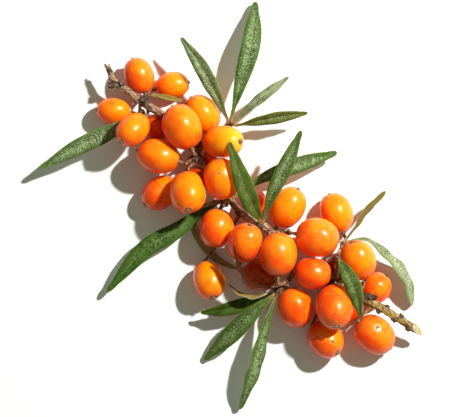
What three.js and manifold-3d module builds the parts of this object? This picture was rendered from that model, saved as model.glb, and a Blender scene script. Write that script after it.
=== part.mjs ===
// Sea buckthorn sprig: one cut twig with its spurs and stalks, its berries and its leaves, lying down.
// Millimetres, +Z up. X runs along the twig from its forked tip to its cut end, Y across it to the
// left, and Z = 0 is the surface that the lowest berries rest on.

import * as THREE from 'three';
import { mergeVertices } from 'three/addons/utils/BufferGeometryUtils.js';
import Module from 'manifold-3d';

const wasm = await Module();
wasm.setup();

// ---------------------------------------------------------------- driving dimensions

const FIT_GAP = 0.35; // air left between pieces that touch
const REST_SINK = 0.2; // how much of a resting berry is pressed flat

// Twig radius at even shares of its length, from its thin tip to past the cut.
const TWIG_R = [0.7, 1.05, 1, 0.95, 0.9, 1.05, 0.95, 0.95, 1.05, 1, 1.05];
const TWIG_SIDES = 8;
const TWIG_STEPS = 38;
const CUT_FACING = [0.5, 0.45, 0.74]; // the way the slanted cut at the thick end faces
const CUT_AT = [103, -0.9, 5.7]; // where the cut crosses the twig's axis
const CUT_BLOCK = 20; // size of the block that makes the cut

const SPUR_SIDES = 6;
const STALK_R = 0.42; // a berry's stalk
const STALK_ROOT_R = 0.55;
const STALK_BEND = 0.3; // share of its reach over which a stalk lines up with its berry
const STALK_SIDES = 5;
const STALK_STEPS = 4;

const BERRY_SIDES = 10;
const BERRY_BANDS = 8;
const BERRY_FULLNESS = 0.9; // below 1 a berry is barrel-shaped, at 1 it is an ellipsoid
const STYLE_R = 0.5; // the dried style at a berry's outer end
const STYLE_HEIGHT = 0.45;
const STYLE_SIDES = 5;

const BLADE_THICK = 0.6;
const PETIOLE_WIDTH = 0.8;
const LEAF_STEPS = 11;
const LEAF_FOLD = 0.12; // rise of the blade's edges for each millimetre out from the midrib

// ---------------------------------------------------------------- the twig's route

// The twig, from its forked tip to just past the cut: [x, y, z] of its axis.
const TWIG = [
  [1.9, -0.4, 6.9],
  [4.5, -1.7, 6.9],
  [6.4, -2.2, 6.8],
  [9, -1.8, 6.7],
  [12, -1.5, 6.5],
  [14.5, -1.6, 6.3],
  [19, -0.8, 6],
  [23, -0.9, 4.8],
  [28, -1.8, 4.4],
  [33, -2.9, 5.4],
  [38, -4.2, 4.8],
  [42, -5.2, 4.3],
  [46, -6.1, 5.2],
  [50, -6.7, 6],
  [54, -6.5, 6.4],
  [57, -5.6, 6.5],
  [60.5, -6, 6],
  [65, -7.6, 5.3],
  [69, -9, 4.3],
  [73, -9, 3.6],
  [76, -7.6, 3.9],
  [79, -5.6, 5.2],
  [83, -4.3, 6.8],
  [87.5, -3.4, 7.7],
  [91.5, -2.6, 7.2],
  [96, -2, 6.5],
  [101, -1.3, 6],
  [107, -0.2, 5.2],
];

// Side shoots: the route from inside the twig to the tip, then the radius at each end.
const SPURS = {
  tipFork: { route: [[3, -1, 6.9], [2.2, 0, 7.1], [1.7, 0.4, 7.2]], from: 0.5, to: 0.3 },
  tipProng: { route: [[2.9, -0.9, 6.9], [1.8, -0.7, 6.8], [0.9, -0.3, 6.6]], from: 0.5, to: 0.3 },
  leafNear: { route: [[14.2, -1.5, 6.2], [14.3, -0.2, 6.6], [14.5, 0.7, 7]], from: 0.7, to: 0.45 },
  rosetteUpper: {
    route: [[32.6, -2.8, 5.6], [32.5, 0.5, 3.6], [33.4, 4.4, 3.2], [34.1, 8, 4.5]],
    from: 0.75,
    to: 0.6,
  },
  leafLeft: { route: [[45.5, -6.1, 5.1], [45, -7.4, 5.2], [44.8, -8.2, 5.2]], from: 0.7, to: 0.5 },
  leafPair: { route: [[55.4, -6.2, 6.5], [55.8, -6.1, 7.2], [56, -5.9, 7.8]], from: 0.8, to: 0.6 },
  berryPeg: { route: [[59, -5.7, 6.2], [61.6, -4, 6.8], [63.2, -2.8, 7.8]], from: 0.7, to: 0.5 },
  riser: {
    route: [[78.4, -6, 5.3], [78.3, -3.4, 7.8], [76.2, -0.4, 9.8], [75.2, 2, 8.6], [74.7, 3.7, 7]],
    from: 0.8,
    to: 0.5,
  },
  rosetteLower: { route: [[70, -9, 4.3], [70.2, -12, 6.5], [69.8, -16.3, 7.2]], from: 0.8, to: 0.65 },
};

// Dried buds and knobs: centre [x, y, z] and size [along, across, up].
const KNOBS = [
  { at: [5.6, -3.2, 6.9], size: [1.1, 0.9, 0.9] },
  { at: [7.2, -1.4, 7.3], size: [1, 0.7, 0.7] },
  { at: [3, -0.8, 7.1], size: [0.8, 0.7, 0.7] },
  { at: [14.3, -1, 6.9], size: [1.5, 1.4, 1.1] },
  { at: [12.6, -2.2, 6.1], size: [0.8, 0.7, 0.7] },
  { at: [16.4, -1.8, 6.9], size: [0.9, 0.7, 0.7] },
  { at: [33, -3.4, 6.1], size: [1.4, 1.3, 1] },
  { at: [30.6, -2.2, 5.5], size: [0.9, 0.8, 0.7] },
  { at: [34.2, 8.2, 4.8], size: [0.9, 0.9, 0.9] },
  { at: [45.4, -7, 5.4], size: [1, 1, 0.9] },
  { at: [50.2, -7.4, 6.2], size: [1, 0.8, 0.8] },
  { at: [56, -6.2, 7.4], size: [1.1, 1, 0.9] },
  { at: [61.4, -4.4, 7], size: [0.8, 0.7, 0.6] },
  { at: [70.2, -13.2, 7.4], size: [1.3, 1.1, 1] },
  { at: [69.8, -16, 7.2], size: [1, 1, 0.9] },
  { at: [74.8, 3.4, 7.2], size: [0.9, 0.9, 0.8] },
  { at: [76, -0.2, 9.8], size: [0.9, 0.8, 0.8] },
  { at: [79.4, -5.5, 6], size: [1.1, 1, 0.9] },
  { at: [87.8, -2.5, 8.2], size: [1.3, 1, 0.9] },
  { at: [89.2, -1.6, 8.4], size: [0.9, 0.6, 0.5] },
  { at: [92.3, -3.6, 7.1], size: [0.9, 0.8, 0.7] },
  { at: [93.2, -1.5, 7.2], size: [0.8, 0.8, 0.7] },
  { at: [96.6, -2.8, 6.6], size: [0.9, 0.7, 0.7] },
  { at: [97.4, -1, 6.6], size: [0.8, 0.7, 0.7] },
  { at: [100.9, -2.1, 6.1], size: [0.8, 0.8, 0.8] },
  { at: [101.6, -0.4, 6.3], size: [0.8, 0.8, 0.7] },
];

// ---------------------------------------------------------------- berries

// Each berry: centre, yaw and pitch in degrees of the way from its stalk to its dried style, length,
// width, and the place inside the twig or spur where its stalk starts. A resting berry's height is
// worked out, so that it just presses on the surface.
const BERRIES = [
  { at: [9.2, 2.9, 5.3], yaw: 150, pitch: 0, long: 9.2, wide: 7.5, root: [14, -1.3, 6.3] },
  { at: [17, 6.4, 4], yaw: 52, pitch: 8, long: 8.5, wide: 6.8, root: [14.4, 0.4, 6.7], rests: true },
  { at: [10.1, -7.8, 3.9], yaw: -145, pitch: 8, long: 8.8, wide: 6.8, root: [13.6, -1.7, 6] },
  { at: [16.8, -8.3, 9.6], yaw: -93, pitch: 30, long: 9.7, wide: 7.5, root: [16, -1.5, 6.3] },
  { at: [25.7, 0, 10.3], yaw: 154, pitch: 5, long: 11.5, wide: 9.5, root: [32.4, -2.8, 5.9] },
  { at: [27.3, 5.8, 4.4], yaw: 165, pitch: 5, long: 10.2, wide: 8.2, root: [32.5, 0, 3.9] },
  { at: [35.8, 3.7, 8.8], yaw: 40, pitch: 38, long: 11.2, wide: 8.2, root: [31.8, -2.6, 6] },
  { at: [25.7, -9.3, 7.9], yaw: -155, pitch: -5, long: 10.8, wide: 8.6, root: [32.2, -2.8, 5.8] },
  { at: [37.2, -11.4, 10.6], yaw: -50, pitch: 36, long: 11.1, wide: 9, root: [33.8, -3.1, 5.8] },
  { at: [31.9, -16, 4], yaw: -102, pitch: 10, long: 9.8, wide: 8, root: [33, -3, 5.6], rests: true },
  { at: [41.4, -3.5, 10.3], yaw: 140, pitch: 10, long: 10.4, wide: 9, root: [46, -6.1, 5.4] },
  { at: [20.6, -4.4, 3.5], yaw: 200, pitch: -20, long: 7.4, wide: 6.8, root: [22, -0.9, 5], rests: true },
  { at: [36.6, -7.7, 3.3], yaw: 240, pitch: -10, long: 6.8, wide: 6.2, root: [36.5, -3.8, 5], rests: true },
  { at: [36.2, -0.2, 3], yaw: 60, pitch: -20, long: 6, wide: 5.4, root: [34.5, -3.2, 5.4] },
  { at: [48.3, -13.6, 6.4], yaw: -61, pitch: 6, long: 9.8, wide: 8.5, root: [45.3, -7.2, 5.3] },
  {
    at: [56, -11.8, 10.9],
    yaw: 115,
    pitch: 22,
    long: 10,
    wide: 8.6,
    root: [53.5, -6.9, 6],
    via: [[54.6, -9.6, 5.8], [57, -14.2, 5.4], [58.6, -17, 6.8]],
  },
  { at: [64, -8.8, 11.6], yaw: 130, pitch: -5, long: 10.8, wide: 9.5, root: [70.2, -12.8, 7.2] },
  { at: [58.5, 1.6, 6.2], yaw: 101, pitch: 10, long: 10.8, wide: 8.5, root: [58, -5.7, 6.4] },
  { at: [68.8, 0.6, 9.8], yaw: 30, pitch: 0, long: 10.8, wide: 9.8, root: [62.2, -2.6, 7.4] },
  { at: [68.7, 8.3, 4], yaw: 150, pitch: 0, long: 10.2, wide: 8.2, root: [74.8, 3.1, 7.4], rests: true },
  {
    at: [80.2, 2.8, 8.2],
    yaw: 150,
    pitch: 20,
    long: 10.2,
    wide: 8.8,
    root: [85.5, -3.7, 7.4],
    via: [[85.5, -1.4, 6.9]],
  },
  { at: [73.7, -6.9, 8.6], yaw: -149, pitch: 0, long: 9.2, wide: 8, root: [78.8, -5.7, 5.5] },
  {
    at: [88.3, 0.3, 4],
    yaw: 90,
    pitch: 0,
    long: 8.2,
    wide: 7.5,
    root: [88.9, -3.1, 7.2],
    via: [[88.9, -4.4, 5.2]],
    rests: true,
  },
  { at: [75.9, -16.2, 5.8], yaw: -25, pitch: -5, long: 10.2, wide: 8.8, root: [70.2, -12.4, 6.8] },
  { at: [83, -9.8, 10.2], yaw: -46, pitch: 34, long: 11.8, wide: 9.2, root: [79.6, -5.4, 5.8] },
  {
    at: [86.8, -17.5, 4],
    yaw: -7,
    pitch: 30,
    long: 10.1,
    wide: 8.5,
    root: [80, -5.4, 5.6],
    via: [[80.8, -10, 3], [81.2, -14.5, 1.8]],
    rests: true,
  },
  {
    at: [95.4, -8.7, 5],
    yaw: 0,
    pitch: -10,
    long: 10.8,
    wide: 9.2,
    root: [90, -2.9, 7.3],
    via: [[89.9, -6.2, 6.9]],
    rests: true,
  },
  {
    at: [55.2, -24.8, 5],
    yaw: -36,
    pitch: 28,
    long: 10,
    wide: 8,
    root: [50.6, -6.8, 5.8],
    via: [[50.9, -11, 3], [51.1, -18, 3.3]],
  },
  { at: [63.9, -15.8, 4], yaw: 200, pitch: -10, long: 8.8, wide: 8.2, root: [69.8, -14.5, 7], rests: true },
  { at: [86.4, -7.4, 3.3], yaw: 280, pitch: -10, long: 7.4, wide: 6.8, root: [85.5, -3.9, 6.9], rests: true },
  { at: [77.6, -2, 3.2], yaw: 70, pitch: -15, long: 6.8, wide: 6.4, root: [78.4, -6.2, 5.2], rests: true },
  { at: [54.4, -10.6, 3], yaw: 260, pitch: -20, long: 5.6, wide: 5.2, root: [55, -6.4, 6.2], rests: true },
  { at: [51.4, -2.9, 3.2], yaw: 80, pitch: -20, long: 6.8, wide: 6.4, root: [50, -6.6, 5.8], rests: true },
];

// ---------------------------------------------------------------- leaves

// Each leaf: its midrib from base to tip, its greatest width, the share of its length where it is
// widest, and how far it is rolled over at its base and tip, in degrees: 0 is flat, 90 on edge. A
// leaf with a bluntness keeps its width further towards its tip, up to 1 for a strip.
const LEAVES = [
  {
    rib: [[33.5, 9.5, 5.6], [29.8, 17.5, 7.4], [25.4, 26.9, 6.9], [19.4, 35.8, 1.6]],
    width: 4.7,
    belly: 0.58,
    roll: [0, 10],
  },
  {
    rib: [[32.6, 9, 6], [26.2, 11.9, 8.4], [19.4, 14.6, 9.6], [11.3, 16.8, 9.8]],
    width: 3.8,
    belly: 0.52,
    roll: [-20, -10],
  },
  {
    rib: [[34.9, 9.7, 6.2], [35.5, 15.3, 8], [36.7, 20.8, 8.8], [37.9, 26.4, 8.4]],
    width: 2.8,
    belly: 0.55,
    roll: [-35, -20],
  },
  {
    rib: [[35.6, 9.1, 5], [39, 13.2, 6.6], [43, 18, 7.6], [47.2, 22.7, 7.6]],
    width: 3,
    belly: 0.55,
    roll: [25, 15],
  },
  {
    rib: [[15.9, -3.4, 5], [13.7, -9.8, 5.9], [9, -20.3, 6], [5.1, -30.6, 6.2]],
    width: 4.3,
    belly: 0.5,
    roll: [-25, 0],
  },
  {
    rib: [[44.3, -9.3, 4.8], [42.6, -14, 3.5], [41.1, -20.3, 3.7], [38.1, -28.7, 4.2], [37.6, -43.3, 3.5]],
    width: 4.6,
    belly: 0.52,
    roll: [0, 5],
  },
  {
    rib: [[55.1, -5.3, 8.6], [49.6, -2.8, 12.8], [43, 0.9, 15], [37.1, 4.7, 13.8]],
    width: 4.6,
    belly: 0.42,
    roll: [10, 10],
  },
  {
    rib: [[56, -4.7, 8.6], [53.4, 1.4, 11.4], [51.1, 10.2, 13.6], [48.8, 18.1, 14.8]],
    width: 3.8,
    belly: 0.55,
    roll: [10, 0],
  },
  {
    rib: [[46.6, -4.9, 5.9], [47.6, -1.2, 6], [49.4, 4, 5.8], [53.9, 11.8, 5.8], [59.1, 20, 4.2]],
    width: 3.9,
    belly: 0.62,
    roll: [0, 10],
  },
  {
    rib: [[74.5, 5, 7.1], [74.4, 9, 7.6], [73.8, 13.3, 7.8], [74.4, 20.2, 7.4]],
    width: 2.3,
    belly: 0.6,
    bluntness: 0.5,
    roll: [52, 45],
  },
  {
    rib: [[75.4, 4.6, 6], [78.2, 7.8, 6.2], [85.6, 8.1, 5.6], [92.4, 6.8, 3.6], [98, 2.8, 1.1]],
    width: 5.2,
    belly: 0.62,
    bluntness: 0.4,
    roll: [-62, -58],
  },
  {
    rib: [[76.6, -0.2, 10.6], [79.6, -1.4, 12.9], [83.9, -3.3, 12.9], [89.5, -7.5, 11.4]],
    width: 4,
    belly: 0.48,
    roll: [-15, 20],
  },
  {
    rib: [[68.4, -16, 8.4], [63.6, -18.6, 10.8], [58.6, -17.6, 13.2], [54.2, -14.2, 15.4]],
    width: 3.2,
    belly: 0.5,
    roll: [75, 70],
  },
  {
    rib: [[68.5, -17.2, 8], [66.6, -20.8, 9], [63, -22.6, 8.8], [59.3, -22.4, 7.6]],
    width: 3.2,
    belly: 0.5,
    roll: [80, 75],
  },
  {
    rib: [[68.9, -17.5, 6.6], [66.4, -22.3, 6.2], [62.9, -27.8, 6], [58.8, -32.3, 4.4]],
    width: 3.4,
    belly: 0.52,
    roll: [0, 0],
  },
  {
    rib: [[69.6, -17.7, 7.4], [68.6, -25, 7], [68, -32, 4.6], [67.1, -40.7, 1.4]],
    width: 4.5,
    belly: 0.52,
    roll: [0, 5],
  },
  {
    rib: [[70.3, -17.4, 6.7], [73.5, -25.5, 6.6], [77.9, -34.7, 5.9], [81.8, -44.6, 1.7]],
    width: 4.3,
    belly: 0.56,
    roll: [-40, -40],
  },
  {
    rib: [[15.3, 1.7, 7.7], [17.5, 2.9, 7.9], [19.4, 3.9, 7.9], [21.4, 5, 7.6]],
    width: 1.4,
    belly: 0.5,
    roll: [0, 0],
  },
  {
    rib: [
      [43.6, -9, 4],
      [42, -12, 2.2],
      [42.2, -15.4, 1.2],
      [44.6, -17.6, 1],
      [48.1, -18.9, 1],
      [51.7, -19.5, 1],
      [55, -19.3, 1],
      [58.6, -18.2, 1.3],
    ],
    width: 2.2,
    belly: 0.6,
    roll: [0, 0],
  },
];

// ---------------------------------------------------------------- colours

const BARK = { color: '#5c4a38', roughness: 0.85, metalness: 0 };
const BERRY_SKIN = { color: '#f57a08', roughness: 0.28, metalness: 0 };
const LEAF_GREEN = { color: '#3f6b2c', roughness: 0.6, metalness: 0 };

// ---------------------------------------------------------------- geometry helpers

const vec = (p) => new THREE.Vector3(...p);
const curveThrough = (points) => new THREE.CatmullRomCurve3(points.map(vec), false, 'centripetal');

// Merges a geometry's shared vertices and drops the empty triangles at its poles.
function sealed(geometry) {
  const bare = geometry.index ? geometry.clone() : geometry;
  bare.deleteAttribute('normal');
  bare.deleteAttribute('uv');
  const merged = mergeVertices(bare, 1e-4);
  const index = [];
  const source = merged.index.array;
  for (let i = 0; i < source.length; i += 3) {
    const [a, b, c] = [source[i], source[i + 1], source[i + 2]];
    if (a !== b && b !== c && c !== a) index.push(a, b, c);
  }
  merged.setIndex(index);
  return merged;
}

function toSolid(geometry) {
  const whole = sealed(geometry);
  const vertProperties = new Float32Array(whole.attributes.position.array);
  const triVerts = new Uint32Array(whole.index.array);
  return new wasm.Manifold(new wasm.Mesh({ numProp: 3, vertProperties, triVerts }));
}

function toGeometry(solid) {
  const mesh = solid.getMesh();
  const geometry = new THREE.BufferGeometry();
  geometry.setAttribute('position', new THREE.BufferAttribute(new Float32Array(mesh.vertProperties), 3));
  geometry.setIndex(new THREE.BufferAttribute(new Uint32Array(mesh.triVerts), 1));
  return geometry;
}

// Skins a row of rings, each given anticlockwise as seen from the far end, and closes both ends at
// a point. Quads from `flipFrom` on are split the other way, so that a blade's two faces match.
function loft(rings, startPole, endPole, flipFrom = Infinity) {
  const count = rings[0].length;
  const points = [...rings.flat(), startPole, endPole];
  const start = points.length - 2;
  const end = points.length - 1;
  const index = [];
  for (let k = 0; k < count; k++) {
    const next = (k + 1) % count;
    const last = (rings.length - 1) * count;
    index.push(start, next, k);
    index.push(end, last + k, last + next);
    for (let i = 0; i < rings.length - 1; i++) {
      const [a, b] = [i * count + k, i * count + next];
      const [c, d] = [b + count, a + count];
      if (k < flipFrom) index.push(a, b, c, a, c, d);
      else index.push(a, b, d, b, c, d);
    }
  }
  const geometry = new THREE.BufferGeometry().setFromPoints(points);
  geometry.setIndex(index);
  return geometry;
}

// The value at a share of the way through a list of evenly spaced values.
function valueAt(values, share) {
  const place = share * (values.length - 1);
  const before = Math.min(Math.floor(place), values.length - 2);
  return THREE.MathUtils.lerp(values[before], values[before + 1], place - before);
}

// A round rod along a curve, with slightly domed ends. Its radii stand at even shares of its length.
function rod(points, radii, sides, steps) {
  const curve = curveThrough(points);
  const frames = curve.computeFrenetFrames(steps, false);
  const rings = [];
  for (let i = 0; i <= steps; i++) {
    const centre = curve.getPointAt(i / steps);
    const radius = valueAt(radii, i / steps);
    const ring = [];
    for (let k = 0; k < sides; k++) {
      const angle = (2 * Math.PI * k) / sides;
      const point = centre.clone();
      point.addScaledVector(frames.normals[i], radius * Math.cos(angle));
      point.addScaledVector(frames.binormals[i], radius * Math.sin(angle));
      ring.push(point);
    }
    rings.push(ring);
  }
  const startPole = curve.getPointAt(0).addScaledVector(frames.tangents[0], -radii[0] / 3);
  const endPole = curve.getPointAt(1).addScaledVector(frames.tangents[steps], radii.at(-1) / 3);
  return loft(rings, startPole, endPole);
}

// ---------------------------------------------------------------- the woody part

function berryAxis({ yaw, pitch }) {
  const turn = THREE.MathUtils.degToRad(yaw);
  const lift = THREE.MathUtils.degToRad(pitch);
  return new THREE.Vector3(
    Math.cos(lift) * Math.cos(turn),
    Math.cos(lift) * Math.sin(turn),
    Math.sin(lift),
  );
}

// A stalk leaves its root and comes up to the berry's stalk end along the berry's own axis.
function stalk(berry, swell) {
  const axis = berryAxis(berry);
  const end = vec(berry.at).addScaledVector(axis, -berry.long / 2 - FIT_GAP - STALK_R / 3);
  const reach = vec(berry.root).distanceTo(end);
  const bend = end.clone().addScaledVector(axis, -reach * STALK_BEND);
  const middle = berry.via ?? [vec(berry.root).lerp(bend, 0.5).toArray(), bend.toArray()];
  const steps = STALK_STEPS + 2 * (middle.length - 2);
  const route = [berry.root, ...middle, end.toArray()];
  return rod(route, [STALK_ROOT_R + swell, STALK_R + swell], STALK_SIDES, steps);
}

function knob({ at, size }, swell) {
  const lump = new THREE.IcosahedronGeometry(1, 0);
  lump.scale(...size.map((half) => half + swell));
  lump.translate(...at);
  return lump;
}

// The block whose near face is the slanted cut across the twig's thick end.
function cutBlock() {
  const block = new THREE.BoxGeometry(CUT_BLOCK, CUT_BLOCK, CUT_BLOCK);
  block.translate(CUT_BLOCK / 2, 0, 0);
  const along = new THREE.Vector3(1, 0, 0);
  block.applyQuaternion(new THREE.Quaternion().setFromUnitVectors(along, vec(CUT_FACING).normalize()));
  block.translate(...CUT_AT);
  return block;
}

// The whole woody part in one body, swollen by `swell` all over: 0 for the wood itself.
function buildWood(swell) {
  const radii = TWIG_R.map((radius) => radius + swell);
  let wood = toSolid(rod(TWIG, radii, TWIG_SIDES, TWIG_STEPS));
  for (const { route, from, to } of Object.values(SPURS)) {
    wood = wood.add(toSolid(rod(route, [from + swell, to + swell], SPUR_SIDES, route.length * 2)));
  }
  for (const berry of BERRIES) wood = wood.add(toSolid(stalk(berry, swell)));
  for (const bud of KNOBS) wood = wood.add(toSolid(knob(bud, swell)));
  return wood.subtract(toSolid(cutBlock()));
}

// ---------------------------------------------------------------- a berry

// Distance from a berry's centre to its skin along a direction.
function skinAlong(berry, direction) {
  const along = Math.abs(direction.dot(berryAxis(berry)));
  const across = Math.sqrt(Math.max(0, 1 - along * along));
  return 1 / Math.hypot((2 * along) / berry.long, (2 * across) / berry.wide);
}

// Flattens a berry where a neighbour presses on it: nothing passes the plane between the two.
function pressAgainst(geometry, berry, other) {
  const toOther = vec(other.at).sub(vec(berry.at));
  const distance = toOther.length();
  toOther.normalize();
  const own = skinAlong(berry, toOther);
  const theirs = skinAlong(other, toOther);
  if (own + theirs < distance - FIT_GAP) return;
  const limit = (distance * own) / (own + theirs) - FIT_GAP / 2;
  const position = geometry.attributes.position;
  const point = new THREE.Vector3();
  for (let i = 0; i < position.count; i++) {
    point.fromBufferAttribute(position, i).sub(vec(berry.at));
    const excess = point.dot(toOther) - limit;
    if (excess > 0) {
      point.addScaledVector(toOther, -excess).add(vec(berry.at));
      position.setXYZ(i, point.x, point.y, point.z);
    }
  }
}

function berryShape(berry) {
  const profile = [];
  for (let i = 0; i <= BERRY_BANDS; i++) {
    const latitude = Math.PI * (i / BERRY_BANDS - 0.5);
    const radius = (berry.wide / 2) * Math.max(0, Math.cos(latitude)) ** BERRY_FULLNESS;
    const onAxis = i === 0 || i === BERRY_BANDS;
    profile.push(new THREE.Vector2(onAxis ? 0 : radius, (berry.long / 2) * Math.sin(latitude)));
  }
  const shape = new THREE.LatheGeometry(profile, BERRY_SIDES);
  placeOnAxis(shape, berry);
  return shape;
}

function placeOnAxis(geometry, berry) {
  const up = new THREE.Vector3(0, 1, 0);
  geometry.applyQuaternion(new THREE.Quaternion().setFromUnitVectors(up, berryAxis(berry)));
  geometry.translate(...berry.at);
}

function styleShape(berry) {
  const style = new THREE.CylinderGeometry(STYLE_R * 0.6, STYLE_R, STYLE_HEIGHT * 2, STYLE_SIDES);
  style.translate(0, berry.long / 2, 0);
  placeOnAxis(style, berry);
  return style;
}

// Sets the height of each resting berry so that its lowest point is just below the surface.
function settleBerries() {
  for (const berry of BERRIES.filter(({ rests }) => rests)) {
    const shape = berryShape(berry);
    shape.computeBoundingBox();
    berry.at[2] -= shape.boundingBox.min.z + REST_SINK;
  }
}

function buildBerry(berry, ground, swollenWood) {
  const shape = berryShape(berry);
  for (const other of BERRIES) if (other !== berry) pressAgainst(shape, berry, other);
  let body = toSolid(shape).add(toSolid(styleShape(berry)));
  if (berry.rests) body = body.subtract(ground);
  return body.subtract(swollenWood);
}

// ---------------------------------------------------------------- a leaf

// Share of the greatest width at each share of the length: a lance that is widest at its belly.
function leafWidth(t, belly, bluntness) {
  const past = t ** (Math.log(0.5) / Math.log(belly));
  const power = t > belly ? 0.8 * (1 - bluntness) : 0.8;
  return Math.sin(Math.PI * past) ** power;
}

function buildLeaf({ rib, width, belly, bluntness = 0, roll }) {
  const curve = curveThrough(rib);
  const up = new THREE.Vector3(0, 0, 1);
  const half = BLADE_THICK / 2;
  const rings = [];
  for (let i = 0; i < LEAF_STEPS; i++) {
    const t = i / LEAF_STEPS;
    const centre = curve.getPointAt(t);
    const tangent = curve.getTangentAt(t);
    const side = up.clone().cross(tangent).normalize();
    side.applyAxisAngle(tangent, THREE.MathUtils.degToRad(THREE.MathUtils.lerp(roll[0], roll[1], t)));
    const normal = tangent.clone().cross(side);
    const reach = Math.max(PETIOLE_WIDTH, width * leafWidth(t, belly, bluntness)) / 2;
    const rise = reach * LEAF_FOLD;
    const section = [[reach, rise - half], [reach, rise + half], [0, half]];
    section.push([-reach, rise + half], [-reach, rise - half], [0, -half]);
    rings.push(section.map(([across, lift]) => {
      const point = centre.clone().addScaledVector(side, across);
      return point.addScaledVector(normal, lift);
    }));
  }
  const bottomFaces = 4;
  return loft(rings, curve.getPointAt(0), curve.getPointAt(1), bottomFaces);
}

// ---------------------------------------------------------------- the whole sprig

function piece(name, geometry, look) {
  const mesh = new THREE.Mesh(geometry, new THREE.MeshStandardMaterial(look));
  mesh.name = name;
  return mesh;
}

const numbered = (word, i) => `${word}_${String(i + 1).padStart(2, '0')}`;

settleBerries();
const ground = new THREE.BoxGeometry(400, 400, 20);
ground.translate(0, 0, -10);
const groundSolid = toSolid(ground);
const swollenWood = buildWood(FIT_GAP);

const sprig = new THREE.Group();
sprig.add(piece('stem', toGeometry(buildWood(0)), BARK));
BERRIES.forEach((berry, i) => {
  sprig.add(piece(numbered('berry', i), toGeometry(buildBerry(berry, groundSolid, swollenWood)), BERRY_SKIN));
});
LEAVES.forEach((leaf, i) => {
  sprig.add(piece(numbered('leaf', i), buildLeaf(leaf), LEAF_GREEN));
});

// The origin is the middle of the whole sprig's footprint, on the surface it lies on.
const extent = new THREE.Box3().setFromObject(sprig);
const middle = extent.getCenter(new THREE.Vector3());
sprig.position.set(-middle.x, -middle.y, 0);

export default sprig;
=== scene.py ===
"""Looks of a sea buckthorn sprig: its berries, leaves and woody stem, and the stage it lies on.

Every piece is worked out from the solid of the same part: a berry's centre, axis and size, a leaf's
midrib and widths, and the stem's whole shape. Lengths are in metres, and MM is one millimetre.
"""

import math
import random
from contextlib import contextmanager

import bpy
import numpy as np
from bpy.props import FloatProperty, FloatVectorProperty, IntProperty, PointerProperty
from bpy.types import Operator, Panel, PropertyGroup
from mathutils import Matrix, Vector, noise
from mathutils.bvhtree import BVHTree


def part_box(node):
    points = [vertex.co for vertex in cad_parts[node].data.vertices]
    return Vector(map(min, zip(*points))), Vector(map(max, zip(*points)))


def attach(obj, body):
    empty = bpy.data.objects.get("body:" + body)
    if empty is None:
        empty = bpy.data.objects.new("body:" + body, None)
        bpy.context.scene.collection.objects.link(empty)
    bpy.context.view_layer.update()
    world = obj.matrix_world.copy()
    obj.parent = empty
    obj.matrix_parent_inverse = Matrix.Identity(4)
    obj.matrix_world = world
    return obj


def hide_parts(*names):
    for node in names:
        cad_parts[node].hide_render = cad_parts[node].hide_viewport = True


bl_info = {
    "name": "Sea buckthorn sprig",
    "version": (1, 0, 0),
    "blender": (4, 5, 0),
    "location": "View3D > Sidebar > Sprig",
    "description": "Grows the berries, leaves and bark of a sea buckthorn sprig over its solids",
    "category": "Object",
}

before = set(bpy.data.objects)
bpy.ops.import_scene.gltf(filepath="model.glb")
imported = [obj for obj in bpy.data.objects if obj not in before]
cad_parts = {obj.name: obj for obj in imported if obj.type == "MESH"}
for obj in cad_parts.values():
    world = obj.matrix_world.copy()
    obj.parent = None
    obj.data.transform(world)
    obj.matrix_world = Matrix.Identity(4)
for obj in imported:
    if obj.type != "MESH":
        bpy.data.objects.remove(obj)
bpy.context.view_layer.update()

MM = 0.001

# ---- driving dimensions

STYLE_RISE = 0.45 * MM  # how far the solid's dried style stands out of its berry
STYLE_CORNERS = 5
STYLE_SPREAD = 0.75 * MM  # a style's corners are this close together, a berry's own aren't

BERRY_SEGMENTS = 56
BERRY_RINGS = 40
BERRY_FULLNESS = 0.9  # below 1 a berry is barrel-shaped, at 1 it is an ellipsoid
BERRY_LUMPS = 0.012  # height of the skin's slow waves, as a share of the width
BERRY_WAVE = 3.4 * MM
PRESS_ROUNDING = 0.3 * MM  # how softly a flat turns into the round skin
PRESS_AIR = 0.03 * MM  # air left on each side between two berries
STEM_AIR = 0.08 * MM  # air left between a berry and the wood it lies on
DIMPLE_DEPTH = 0.32 * MM
DIMPLE_REACH = 0.8 * MM
DIMPLE_RIM = 0.06 * MM  # how far the skin stands up round the dimple
HOLLOW_R = 0.85 * MM  # the brown hollow round the dried star
HALO_R = 1.3 * MM  # the pale skin round that hollow
STAR_POINTS = 7
STAR_HEIGHT = 0.32 * MM
STAR_RAGGED = 0.28  # how far the star's points stand out, as a share of its radius
STAR_STEPS = [(0.12 * MM, 0), (0.08 * MM, -0.18 * MM), (0.1 * MM, 0.12 * MM)]  # rim, cup, its floor
STAR_SINK = 0.1 * MM  # how far the star goes into its dimple
COLLAR_R = 0.46 * MM  # the swollen end of a stalk, where it holds the berry
COLLAR_LENGTH = 0.9 * MM
COLLAR_DROP = 0.25 * MM  # how far the collar's middle is below the berry's foot
COLLAR_AIR = 0.05 * MM

BLADE_STEPS = 84
BLADE_COLUMNS = 16
BLADE_FOLD = 0.46  # rise from the midrib to the edge, as a share of the way out
BLADE_CURL = 0.34  # how far the edge turns down again, as a share of the half width
BLADE_RIPPLE = 0.10  # height of the edge's waves, as a share of the half width
ROUND = 6.3  # about one full turn of a wave
GROOVE_HALF = 0.22 * MM
SPINE_HALF = 0.3 * MM  # half width of the thick midrib
THIN_EDGE = 0.26  # a blade's thickness at its edge, as a share of the midrib's
NARROWEST = 0.03 * MM  # half width at a blade's very tip
PETIOLE_SHARE = 0.07  # share of a blade's rows that lead its stalk back to the bud
PETIOLE_HALF = 0.3 * MM
PETIOLE_SINK = 0.25 * MM  # how far a leaf stalk goes into the bark
PETIOLE_REACH = 5 * MM  # no bud is further from its leaf than this

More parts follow.
